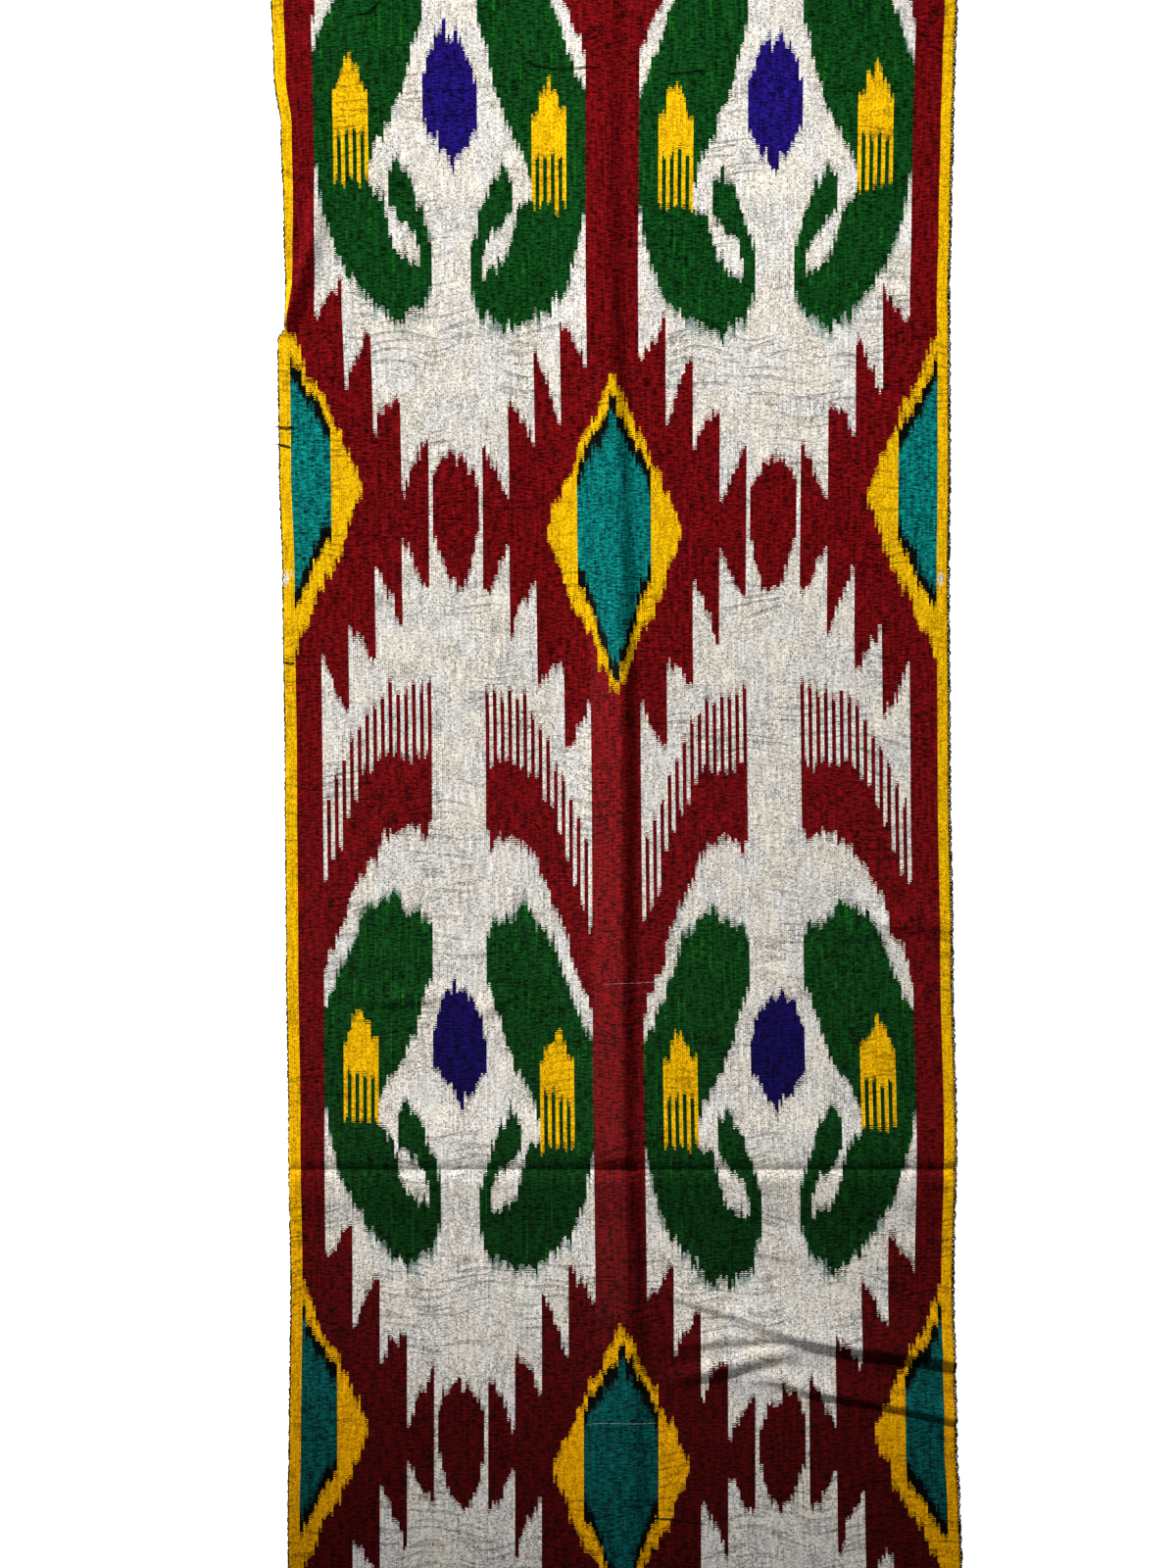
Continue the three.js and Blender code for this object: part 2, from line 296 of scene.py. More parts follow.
def nearest_on(path, across, along):
    """How far each place lies from a path, whether on its upper side, and how far along the path."""
    points = np.array(path, float)
    runs = np.diff(points, axis=0)
    lengths = np.hypot(*runs.T)
    gap = np.full(np.shape(across), np.inf)
    upper = np.ones(np.shape(across), bool)
    share = np.zeros(np.shape(across))
    for start, run, length, before in zip(points, runs, lengths, np.cumsum(lengths) - lengths):
        x, y = across - start[0], along - start[1]
        t = np.clip((x * run[0] + y * run[1]) / length**2, 0, 1)
        away = np.hypot(x - run[0] * t, y - run[1] * t)
        nearer = away < gap
        gap = np.where(nearer, away, gap)
        upper = np.where(nearer, run[0] * y - run[1] * x > 0, upper)
        share = np.where(nearer, (before + t * length) / lengths.sum(), share)
    return gap, upper, share


def lift(across, along):
    """How high the cloth's underside lies above the surface, before its own unevenness."""
    from_crest = across - course_at("crest", along)
    reach = np.where(from_crest < 0, RIDGE_LEFT, RIDGE_RIGHT)
    ridges = course_at("rise", along) * ridge_shape(abs(from_crest) / reach, RIDGE_SHARP)
    for ridge in RIDGES:
        gap, upper, share = nearest_on(ridge.path, across, along)
        reach = np.where(upper, ridge.upper, ridge.lower)
        from_end = share if ridge.to_selvage else np.minimum(share, 1 - share)
        ridges = ridges + ridge.height * ease(from_end / ridge.taper) * ridge_shape(gap / reach, ridge.sharp)
    from_crease = along - CREASE_ALONG
    reach = np.where(from_crease > 0, CREASE_ABOVE, CREASE_BELOW)
    kept = 1 - PRESSED * ridge_shape(abs(from_crease) / PRESS_REACH, 0)
    lips = LIP_RISE * rise_shape(abs(from_crease) / LIP_REACH)
    return ridges * kept + CREASE_RISE * rise_shape(abs(from_crease) / reach) + lips


def table_at(table, along):
    """A value from a table of (along, value) rows that run down the cloth."""
    return np.interp(along, *np.array(sorted(table), float).T)


def warp_across(bundles, along):
    """Where warps lie across the cloth at one place along it."""
    left, right = course_at("left", along), course_at("right", along)
    known = {-EDGE: left, -STRIPE: left + table_at(LEFT_STRIPE, along)}
    known.update({bundle: table_at(path, along) for bundle, path in WARPS.items()})
    known.update({STRIPE: right - RIGHT_STRIPE, EDGE: right})
    return np.interp(bundles, list(known), [float(x) for x in known.values()])


def place_of(bundles, from_top):
    """Across and along, in millimetres, of warps at one distance from the upper cut end."""
    straight = LENGTH / 2 - from_top
    across = warp_across(bundles, straight)
    waver = END_WAVER / 2 * (1 - np.cos(np.asarray(bundles) / EDGE * END_WAVES * math.pi))
    from_middle = 1 - 2 * from_top / LENGTH
    return across, straight - waver * np.sign(from_middle) * abs(from_middle) ** END_FADE


def slack(across, along, sizes):
    """The cloth's own unevenness, from 0 to the cockle size."""
    broad, close = sizes.cockle_width / MM, sizes.cockle_width / MM / 3
    heights = [
        0.5 + 0.35 * noise.noise((x / broad, y / broad * 0.8, 2.5))
        + 0.25 * noise.noise((x / close, y / close * 1.6, 7.5)) for x, y in zip(across, along)
    ]
    return np.clip(heights, 0, 1) * sizes.cockle


def underside_of(across, along, sizes):
    """Height of the cloth's underside, in metres, at places given in millimetres."""
    return lift(across, along) * MM + slack(across, along, sizes) + sizes.clearance


def top_of(across, along, sizes):
    """Height of the cloth's upper face, in metres, at places given in millimetres."""
    return underside_of(across, along, sizes) + sizes.thickness


def linear(*picture):
    """A colour as light adds up, from the red, green and blue of a picture, each from 0 to 255."""
    parts = [level / 255 for level in picture]
    return tuple(part / 12.92 if part <= 0.04045 else ((part + 0.055) / 1.055) ** 2.4 for part in parts)


def size(name, description, default, least, most):
    """A length to choose, in metres."""
    return bpy.props.FloatProperty(
        name=name, description=description, default=default, min=least, max=most, precision=5, unit="LENGTH")


def dye(name, description, *picture):
    """A colour to choose, with its default as a picture has it."""
    return bpy.props.FloatVectorProperty(
        name=name, description=description, subtype="COLOR", default=linear(*picture))


class ClothSizes(bpy.types.PropertyGroup):
    """Sizes of the woven sheet."""

    thickness: size("Thickness", "Thickness of the cloth", 0.0006, 0.0002, 0.001)
    clearance: size("Clearance", "Gap under the cloth where it lies flat", 0.00006, 0, 0.0003)
    cockle: size("Cockle", "Height of the cloth's own unevenness", 0.00045, 0, 0.001)
    cockle_width: size("Cockle width", "Width of the cloth's own unevenness", 0.045, 0.01, 0.2)


class DyeColours(bpy.types.PropertyGroup):
    """Colours of the dyed warp and of the weft."""

    red: dye("Red", "Ground of the cloth", 102, 8, 12)
    white: dye("White", "Warp left undyed", 229, 224, 216)
    green: dye("Green", "Horns of the motif", 10, 60, 19)
    leaf: dye("Leaf green", "Streaks where the green dye ran thin", 20, 88, 18)
    violet: dye("Violet", "Drop in the middle of the motif", 27, 15, 100)
    yellow: dye("Yellow", "Selvages, combs and diamonds", 240, 188, 6)
    teal: dye("Teal", "Hearts of the diamonds", 7, 112, 108)
    black: dye("Black", "Line round the hearts of the diamonds, and loose weft", 10, 11, 10)
    weft: dye("Weft", "The dark weft seen through undyed warp", 34, 28, 25)
    ochre: dye("Ochre", "The weft seen through yellow warp", 150, 78, 6)


class YarnSizes(bpy.types.PropertyGroup):
    """Sizes of the threads at the cloth's edges."""

    loop_spacing: size("Loop spacing", "Distance between weft loops on a selvage", 0.0017, 0.001, 0.02)
    loop_radius: size("Loop size", "Radius of a weft loop", 0.0008, 0.0003, 0.005)
    yarn: size("Weft yarn", "Radius of the doubled weft where it turns back", 0.0005, 0.0001, 0.001)
    warp_end: size("Warp end", "Radius of a warp end", 0.00022, 0.0001, 0.001)
    fray_spacing: size("Fray spacing", "Distance between warp ends at a cut end", 0.0011, 0.0005, 0.01)
    fray_length: size("Fray length", "Longest warp end at a cut end", 0.0024, 0.0005, 0.01)


class StudioSettings(bpy.types.PropertyGroup):
    """The floor, the lamps and the camera."""

    floor: bpy.props.FloatVectorProperty(
        name="Floor", description="Colour of the floor", subtype="COLOR", default=(0.86, 0.86, 0.86))
    glow: bpy.props.FloatProperty(
        name="Floor glow", description="Light that keeps the floor white", default=0.92, min=0, max=2)
    key: bpy.props.FloatProperty(
        name="Main lamp", description="Power of the main lamp", default=1330, min=0, max=3000, unit="POWER")
    fill: bpy.props.FloatProperty(
        name="Fill", description="Strength of the light from all round", default=0.12, min=0, max=2)
    distance: size("Camera distance", "Height of the camera above the cloth", 3, 1, 10)


def sum_node(operation, swapped=False):
    """A signal's method that puts in a node for a sum, swapped where the signal comes second."""

    def method(self, other):
        return self.wiring.math(operation, *((other, self) if swapped else (self, other)))

    return method


class Signal:
    """A value that runs between nodes, so that a sum of nodes is written as a sum."""

    def __init__(self, wiring, socket):
        self.wiring, self.socket = wiring, socket

    __add__ = sum_node("ADD")
    __radd__ = sum_node("ADD", swapped=True)
    __sub__ = sum_node("SUBTRACT")
    __rsub__ = sum_node("SUBTRACT", swapped=True)
    __mul__ = sum_node("MULTIPLY")
    __rmul__ = sum_node("MULTIPLY", swapped=True)
    __truediv__ = sum_node("DIVIDE")
    __gt__ = sum_node("GREATER_THAN")
    __lt__ = sum_node("LESS_THAN")
    at_least = sum_node("MAXIMUM")

    def __abs__(self):
        return self.wiring.math("ABSOLUTE", self)

    def floor(self):
        return self.wiring.math("FLOOR", self)

    def part(self):
        """What is left over a whole number."""
        return self.wiring.math("FRACT", self)

    def odd(self):
        """1 where a whole number is odd, and 0 where it is even."""
        return self.wiring.math("FLOORED_MODULO", self, 2)


class Wiring:
    """Puts nodes in a tree and joins them."""

    def __init__(self, tree):
        self.tree = tree
        self.curves = {}

    def add(self, kind, inputs=(), **settings):
        """Adds a node with its settings and its inputs, which are in order, or in a dict by label."""
        made = self.tree.nodes.new(kind)
        column, line = divmod(len(self.tree.nodes), 12)
        made.location = (column * 190, -line * 170)
        for name, value in settings.items():
            setattr(made, name, value)
        for label, value in inputs.items() if isinstance(inputs, dict) else enumerate(inputs):
            self.join(value, made.inputs[label])
        return made

    def join(self, value, socket):
        """Links a signal or socket to a socket, or sets the socket to a plain value."""
        if isinstance(value, Signal):
            value = value.socket
        if isinstance(value, bpy.types.NodeSocket):
            self.tree.links.new(value, socket)
        elif socket.type == "RGBA":
            socket.default_value = (*value, 1)
        else:
            socket.default_value = value

    def signal(self, kind, inputs, **settings):
        """The first output of a new node."""
        return Signal(self, self.add(kind, inputs, **settings).outputs[0])

    def chain(self, geometry, kind, inputs=None, **settings):
        """Passes geometry through one more node."""
        return self.signal(kind, {0: geometry, **(inputs or {})}, **settings)

    def math(self, operation, *values):
        return self.signal("ShaderNodeMath", values, operation=operation)

    def vector(self, *parts):
        return self.signal("ShaderNodeCombineXYZ", parts)

    def wrap(self, value, low):
        """A row brought into the repeat that starts at low."""
        return self.math("WRAP", value, low + REPEAT, low)

    def smooth(self, value, low, high):
        """Runs from 0 to 1 with no corners as a value goes from low to high."""
        return self.signal("ShaderNodeMapRange", (value, low, high), interpolation_type="SMOOTHSTEP")

    def span(self, value, comes, goes):
        """Runs from 0 to 1 over the first pair of values, and back to 0 over the second."""
        return self.smooth(value, *comes) - self.smooth(value, *goes)

    def mix(self, share, first, second):
        """A colour that runs from the first to the second as share goes from 0 to 1."""
        made = self.add("ShaderNodeMix", data_type="RGBA")
        for value, name in ((share, "Factor_Float"), (first, "A_Color"), (second, "B_Color")):
            self.join(value, next(s for s in made.inputs if s.identifier == name))
        return Signal(self, next(s for s in made.outputs if s.identifier == "Result_Color"))

    def noise(self, across, along, detail=0.0, rough=0.5):
        """Smooth noise from 0 to 1, one cell to each unit of across and along."""
        return self.signal("ShaderNodeTexNoise", {
            "Vector": self.vector(across, along), "Scale": 1.0, "Detail": detail, "Roughness": rough,
        }, noise_dimensions="2D")

    def chance(self, across, along):
        """An even random number from 0 to 1 for each pair of whole numbers."""
        place = {"Vector": self.vector(across, along)}
        return self.signal("ShaderNodeTexWhiteNoise", place, noise_dimensions="2D")

    def random(self, low, high, seed, kind="FLOAT"):
        """A value drawn for each point."""
        made = self.add("FunctionNodeRandomValue", data_type=kind)
        lowest, highest = [s for s in made.inputs if s.enabled][:2]
        for value, socket in ((low, lowest), (high, highest), (seed, made.inputs["Seed"])):
            self.join(value, socket)
        return Signal(self, next(s for s in made.outputs if s.enabled))

    def curve(self, value, points):
        """A value looked up on a line through points, both from 0 to 1."""
        made = self.add("ShaderNodeFloatCurve", {"Value": value})
        line = made.mapping.curves[0]
        for point in points[1:-1]:
            line.points.new(*point)
        line.points[0].location = points[0]
        line.points[len(points) - 1].location = points[-1]
        for point in line.points:
            point.handle_type = "VECTOR"
        made.mapping.update()
        return Signal(self, made.outputs[0])

    def chart(self, share, name):
        """The row of the chart at which a colour starts or ends, as a share of the chart."""
        if name not in self.curves:
            points = [
                ((bundle + part) / MOTIF, (row - CHART_LOW) / CHART_SPAN)
                for bundle, row in CHART[name].items() for part in (0.2, 0.8)
            ]
            points = [(0.0, points[0][1])] + points + [(1.0, points[-1][1])]
            self.curves[name] = self.curve(share, points)
        return self.curves[name]

    def scaled(self, colour, share):
        """A colour made brighter or darker."""
        return self.signal("ShaderNodeVectorMath", {0: colour, "Scale": share}, operation="SCALE")


def between(row, top, foot):
    """1 where a row lies below a top edge and above a foot."""
    return (row > top) * (row < foot)


def toned(colour, factors):
    """A plain colour with its red, green and blue each taken times a factor."""
    return tuple(part * factor for part, factor in zip(colour, factors))


def new_material(name, colour):
    """A material with an empty tree, its colour in the viewport, and its wiring."""
    material = bpy.data.materials.new(name)
    material.use_nodes = True
    material.node_tree.nodes.clear()
    material.diffuse_color = (*colour, 1)
    return material, Wiring(material.node_tree)


def add_shader(w, colour, **constants):
    """Ends a material: a shader with its colour, and plain values for the rest."""
    inputs = {name.replace("_", " "): value for name, value in constants.items()}
    shader = w.add("ShaderNodeBsdfPrincipled", {"Base Color": colour, **inputs})
    w.add("ShaderNodeOutputMaterial", {"Surface": shader.outputs[0]})
    return shader


def raise_threads(w, shader, height, distance):
    """Gives a surface the relief of its threads."""
    bump = w.add("ShaderNodeBump", {"Height": height, "Distance": distance})
    w.join(bump.outputs[0], shader.inputs["Normal"])


def places_in_weave(w):
    """Which bundle, thread and pick each point of the cloth lies on, counted over the whole cloth."""
    weave = w.add("ShaderNodeUVMap", uv_map="weave").outputs[0]
    layout = w.add("ShaderNodeSeparateXYZ", (weave,))
    bundles = Signal(w, layout.outputs[0]) * (2 * EDGE) - EDGE
    rows = (1 - Signal(w, layout.outputs[1])) * (LENGTH / ROW) - LEAD
    from_middle = abs(bundles)
    counted = abs(from_middle - MOTIF).floor()
    return SimpleNamespace(
        bundles=bundles, bundle=bundles.floor(), thread=(bundles * 2).floor(),
        rows=rows, pick=(rows / PICK).floor(), left=bundles < 0, inner=from_middle < MOTIF,
        stripe=from_middle > STRIPE, counted=counted, odd=counted.odd(), share=(counted + 0.5) / MOTIF)


def rows_of_chart(w, at):
    """The row of the chart that each group of motifs takes here, as a share of the chart."""
    # Each quarter was tied out of step with the one at the left selvage.
    start = RIGHT_START + at.left * (LEFT_START - RIGHT_START)
    outer = (1 - at.left) * OUTER_RIGHT

    def tied(inner):
        """How far lower the outer quarters and the inner ones were tied."""
        return outer + at.inner * (inner - outer)

    shift = tied(start + (INNER_END - start) * w.smooth(at.counted, *SETTLING))

    # The threads slipped and wandered before they were woven.
    first, span = SLIP[0][0], SLIP[-1][0] - SLIP[0][0]
    line = [((row - first) / span, far / SLIP_SCALE) for row, far in SLIP]
    slip = w.curve((at.rows - first) / span, line) * SLIP_SCALE
    wander = w.noise(at.bundle * 0.73, at.rows * 0.012) * BUNDLE_WANDER
    wander = wander + w.noise(at.thread * 0.61, at.rows * 0.03 + 9) * THREAD_WANDER
    stagger = (at.pick.odd() - 0.5) * (w.noise(at.bundle * 0.41, at.rows * 0.09) * 14 - 2)
    placed = at.rows + slip + wander + stagger - (BUNDLE_WANDER + THREAD_WANDER) / 2

    # Lower down, some of the bundles of the inner quarters slipped less than the rest.
    late = at.inner * (1 - at.left) * (at.counted < HORN_LAST + 1)
    late = late * w.smooth(at.rows, *HORNS_LATE) * LATE_HORN
    tooth = at.inner * (at.counted > TOOTH_FIRST - 1) * (at.counted < TOOTH_LAST + 1)
    tooth = tooth * w.smooth(at.rows, *TEETH_LATE) * (LATE_TOOTH - LATE_HORN + at.left * LATE_HORN)
    late_diamond = w.smooth(at.rows, *DIAMONDS_LATE) * LATE_DIAMOND

    def in_repeat(row, start):
        return (w.wrap(row, start) - CHART_LOW) / CHART_SPAN

    return SimpleNamespace(
        body=in_repeat(placed - shift - (late + tooth), BODY_START),
        comb=in_repeat(placed - tied(INNER_COMB), BODY_START),
        crown=in_repeat(placed - shift, CROWN_START),
        diamond=in_repeat(placed - tied(INNER_END) + INNER_END - late_diamond, DIAMOND_START))


def motifs(w, at, row):
    """Where each colour of the chart shows: signals that are 1 on it and 0 off it."""

    def edge(name):
        return w.chart(at.share, name)

    def shape(name, above=0, below=0):
        """A colour between its top and its foot, or a few rows above and below them."""
        here = row.diamond if name == "diamond" else row.body
        top, foot = edge(name + " top") - above / CHART_SPAN, edge(name + " foot") + below / CHART_SPAN
        return between(here, top, foot)

    crown_foot = edge("stripe foot") + (edge("stripe top") - edge("stripe foot")) * at.odd
    uncut = 1 - shape("cut")
    comb_foot = (COMB_BACK - CHART_LOW + at.odd * (COMB_TEETH - COMB_BACK)) / CHART_SPAN
    # A heart ends sooner on a selvage, bundle by bundle.
    slope = SHORT_HEART * MOTIF / (MOTIF - HEART_FIRST) / CHART_SPAN
    heart_foot = edge("heart foot") - (1 - at.inner) * (at.share - HEART_FIRST / MOTIF) * slope
    line = HEART_LINE / CHART_SPAN
    return SimpleNamespace(
        white=shape("body").at_least(between(row.crown, edge("crown top"), crown_foot)),
        green=(shape("green") * uncut).at_least(shape("hook")),
        halo=shape("green", HALO_ABOVE, HALO_BELOW) * uncut,
        drop=shape("drop"),
        comb=between(row.comb, edge("comb top"), comb_foot),
        diamond=shape("diamond"),
        lined=between(row.diamond, edge("heart top") - line, heart_foot + line),
        heart=between(row.diamond, edge("heart top"), heart_foot))


def dyed_warp(w, at, row, on, dyes):
    """The colour of the dyed warp before it is woven."""
    # Undyed warp is cool in some places and warm in others.
    tint = w.smooth(w.noise(at.bundles * 0.11, at.rows * 0.02 + 4, 1.0), 0.36, 0.64)
    undyed = w.mix(tint, toned(dyes.white, COOL), toned(dyes.white, WARM))
    # The green dye ran thin in streaks of a thread or two, mostly near its upper edge.
    near_edge = 1 - w.smooth(abs(row.body - w.chart(at.share, "green top")), 0, STREAK_REACH / CHART_SPAN)
    streak = w.noise(at.thread * 0.83, at.rows * 0.02 + 30)
    green = w.mix(w.smooth(streak + near_edge * 0.12, 0.7, 0.9) * 0.8, dyes.green, dyes.leaf)
    # Towards the lower end the yellow is deeper and the violet darker.
    yellow = w.mix(w.smooth(at.rows, *YELLOW_DEEPENS) * 0.34, dyes.yellow, toned(dyes.yellow, DEEP_YELLOW))
    violet = w.mix(w.smooth(at.rows, *VIOLET_DARKENS) * 0.6, dyes.violet, toned(dyes.violet, (0.3, 0.3, 0.3)))
    # Here and there, teal stains the undyed warp round the green.
    stain = on.halo * w.smooth(w.noise(at.bundle * 0.57, at.rows * 0.05 + 60), 0.42, 0.62) * on.white
    pale_teal = tuple(0.7 * a + 0.3 * b for a, b in zip(dyes.teal, dyes.white))

    colour = w.mix(on.white, dyes.red, undyed)
    for where, dyed in (
            (stain * 0.8, pale_teal), (on.green, green), (on.drop, violet), (on.comb, yellow),
            (on.diamond, yellow), (on.lined, dyes.black), (on.heart, dyes.teal), (at.stripe, yellow)):
        colour = w.mix(where, colour, dyed)
    for mark in MARKS:
        away = abs(at.bundles - mark.bundle) / mark.wide + abs(at.rows - mark.row) / mark.tall
        ragged = away + w.noise(at.thread * 0.7, at.rows * 0.15) - 0.5
        colour = w.mix((1 - w.smooth(ragged, 0.6, 1.1)) * mark.share, colour, getattr(dyes, mark.dye))
    return colour


def ripple_lines_of(w, at):
    """Thin wavering lines across the cloth where it ripples finely: the colour takes them as painted shade,
    and the relief sinks along them.
    """
    waver = w.noise(at.bundles * 0.07, at.rows * 0.012 + 50) * 4.5
    lines = w.smooth(w.noise(at.bundles * 0.09, at.rows * 0.2 + waver), 0.56, 0.7)
    rumpled = w.noise(at.bundles * 0.05, at.rows * 0.014 + 120)
    for comes, goes in RIPPLES:
        rumpled = rumpled + w.span(at.rows, comes, goes) * 0.3
    return lines * w.smooth(rumpled, 0.42, 0.7)


def woven(w, at, on, colour, dyes):
    """The dyed warp with its weft, dusty, with painted shade and a painted sheen: its colour, and the relief
    of its threads.
    """
    golden = on.comb.at_least(on.diamond * (1 - on.lined)).at_least(at.stripe)
    pale = (on.white * (1 - on.green) * (1 - on.drop)).at_least(golden)
    dark = 1 - pale

    # The weft shows as specks between pale threads, and as fine ribs across dark ones.
    across_cell, along_cell = abs((at.bundles * 2).part() - 0.5), abs((at.rows / PICK).part() - 0.5)
    thin = w.noise(at.bundles * 0.11, at.rows * 0.03 + 80)
    speck = (w.chance(at.thread, at.pick) > 1.0 - thin * 0.5) * (across_cell < 0.36)
    colour = w.mix(speck * pale * 0.6, colour, w.mix(golden, dyes.weft, dyes.ochre))

    def by_ground(on_dark, on_pale):
        """How strongly something shows on a dark ground and on a pale one."""
        return on_dark + pale * (on_pale - on_dark)

    tone = w.noise(at.thread * 0.61, at.rows * 0.04 + 20) - 0.5
    grain = w.noise(at.bundles * 1.3, at.rows * 0.36, 2.0, 0.8) - 0.5
    ribs = w.noise(at.bundles * 0.5, at.rows * 0.55, 2.0, 0.9) - 0.5
    ripple_lines = ripple_lines_of(w, at)
    level = 1 + tone * by_ground(1.2, 0.6) + ribs * by_ground(5.4, 0.8) + grain * by_ground(1.5, 1.4)
    # The lines of the fine ripples darken the colour: painted shade.
    level = (level - ripple_lines * 0.28).at_least(0.12)

    # The dark dyes are darker towards the lower end: painted shade. A painted sheen makes them paler
    # on the lit near flank of the long ridge, and they are a little dusty lower down.
    # Painted shade: the dark dyes darken towards the lower end, where the light falls off.
    painted_shade_low = 1 - w.smooth(at.rows, *DARK_DYES_SHADED) * dark * 0.6
    # Painted sheen: the near flank of the long ridge, which faces the lamp, is painted paler.
    flank_sheen = w.span(at.bundles, *SHEEN_ACROSS) * w.span(at.rows, *SHEEN_ALONG) * dark * (1 - on.heart)
    colour = w.scaled(colour, level * painted_shade_low * (1 + flank_sheen * 0.45))
    # Dust lower down, and the pale veil of the painted sheen on the ridge's lit flank.
    colour = w.mix(w.smooth(at.rows, *DUST_SETTLES) * dark * 0.0022 + flank_sheen * 0.005, colour, dyes.white)
    return colour, along_cell * 0.4 + across_cell * 0.9 + ribs * 1.2 + grain - ripple_lines * 1.4


def ikat_material(name, dyes):
    """The dyed warp: each bundle of threads takes its colours from the chart, a little out of place."""
    material, w = new_material(name, dyes.red)
    at = places_in_weave(w)
    row = rows_of_chart(w, at)
    on = motifs(w, at, row)
    colour, relief = woven(w, at, on, dyed_warp(w, at, row, on, dyes), dyes)
    raise_threads(w, add_shader(w, colour, Roughness=0.85, Specular_IOR_Level=0.03), relief, 0.16 * MM)
    return material


def yarn_material(name, colour):
    """Plied yarn of one colour, with its twist."""
    material, w = new_material(name, colour)
    layout = w.add("ShaderNodeSeparateXYZ", (w.add("ShaderNodeTexCoord").outputs["Object"],))
    x, y, z = (Signal(w, socket) for socket in layout.outputs)
    twist = w.math("SINE", (x + y + z) * (2 * math.pi / (0.9 * MM)))
    level = 1 + twist * 0.18 + (w.noise(x * 700, y * 700) - 0.5) * 0.7
    shader = add_shader(w, w.scaled(tuple(colour), level), Roughness=0.8, Specular_IOR_Level=0.02)
    raise_threads(w, shader, twist, 0.05 * MM)
    return material


def material_of(name, make, colours):
    """A material by name, made the first time that it is asked for."""
    return bpy.data.materials.get(name) or make(name, colours)


def show(name, mesh):
    """Puts a mesh in the scene as an object at the origin."""
    made = bpy.data.objects.new(name, mesh)
    bpy.context.scene.collection.objects.link(made)
    return made


def node_tree(name, *labels):
    """A tree of geometry nodes that grows something on a path, its wiring, and a signal for each input."""
    kinds = {"Path": "Geometry", "Seed": "Int", "Material": "Material"}
    tree = bpy.data.node_groups.new(name, "GeometryNodeTree")
    for label in ("Path", *labels, "Material"):
        kind = "NodeSocket" + kinds.get(label, "Float")
        tree.interface.new_socket(label, in_out="INPUT", socket_type=kind)
    tree.interface.new_socket("Mesh", in_out="OUTPUT", socket_type="NodeSocketGeometry")
    wiring = Wiring(tree)
    given = wiring.add("NodeGroupInput")
    return tree, wiring, {socket.name: Signal(wiring, socket) for socket in given.outputs if socket.name}


def close_tree(w, geometry, given):
    """Ends a tree: real faces with their finish."""
    geometry = w.chain(geometry, "GeometryNodeRealizeInstances")
    geometry = w.chain(geometry, "GeometryNodeSetMaterial", {"Material": given["Material"]})
    w.add("NodeGroupOutput", (geometry,))


def yarn_along(w, curve, given, sides, **inputs):
    """A yarn of a few sides along a curve."""
    section = {"Resolution": sides, "Radius": given["Yarn Radius"]}
    ring = w.signal("GeometryNodeCurvePrimitiveCircle", section, mode="RADIUS")
    inputs = {name.replace("_", " "): value for name, value in inputs.items()}
    return w.chain(curve, "GeometryNodeCurveToMesh", {"Profile Curve": ring, **inputs})


def spread(w, given, thing, turns, scale):
    """Copies of a thing at even steps along the path, each turned and sized."""
    line = w.chain(given["Path"], "GeometryNodeMeshToCurve")
    spots = w.chain(line, "GeometryNodeCurveToPoints", {"Length": given["Spacing"]}, mode="LENGTH")
    placing = {"Instance": thing, "Rotation": w.vector(*turns), "Scale": scale}
    return w.chain(spots, "GeometryNodeInstanceOnPoints", placing)


def loop_tree():
    """Loops of weft along a line, bulging towards +X, or towards -X where Turn is half a turn."""
    tree, w, given = node_tree("Selvage Loops", "Spacing", "Loop Radius", "Yarn Radius", "Turn", "Seed")
    round_turn = math.pi * 1.1
    arc = w.signal("GeometryNodeCurveArc", {
        "Resolution": 6, "Radius": given["Loop Radius"], "Start Angle": -round_turn / 2,
        "Sweep Angle": round_turn}, mode="RADIUS")
    seed = given["Seed"]
    turns = (w.random(-0.1, 0.1, seed), w.random(-0.05, 0.05, seed + 1),
             w.random(-0.45, 0.45, seed + 2) + given["Turn"])
    scale = w.random((0.5, 0.7, 0.6), (1.2, 1.3, 0.8), seed + 3, "FLOAT_VECTOR")
    close_tree(w, spread(w, given, yarn_along(w, arc, given, 4), turns, scale), given)
    return tree


def fray_tree():
    """Short warp ends along a line, pointing towards +Y, or towards -Y where Turn is half a turn."""
    tree, w, given = node_tree("Cut End", "Spacing", "Length", "Yarn Radius", "Turn", "Reach", "Seed")
    end = w.signal("GeometryNodeMeshCone", {
        "Vertices": 5, "Side Segments": 2, "Radius Top": given["Yarn Radius"] * 0.5,
        "Radius Bottom": given["Yarn Radius"], "Depth": given["Length"]}, fill_type="NGON")
    seed = given["Seed"]
    turns = w.random(-0.03, 0.1, seed) - math.pi / 2, 0, w.random(-0.3, 0.3, seed + 1) + given["Turn"]
    scale = w.random((0.7, 0.7, 0.2), (1.2, 1.2, 1.0), seed + 2, "FLOAT_VECTOR")
    ends = w.chain(spread(w, given, end, turns, scale), "GeometryNodeRealizeInstances")
    # Each end keeps its place in the weave, so that it takes the dye of its own warp.
    share = w.signal("GeometryNodeInputNamedAttribute", {"Name": "share"}, data_type="FLOAT")
    weave = {"Name": "weave", "Value": w.vector(share, given["Reach"])}
    ends = w.chain(ends, "GeometryNodeStoreNamedAttribute", weave, data_type="FLOAT2", domain="CORNER")
    close_tree(w, ends, given)
    return tree


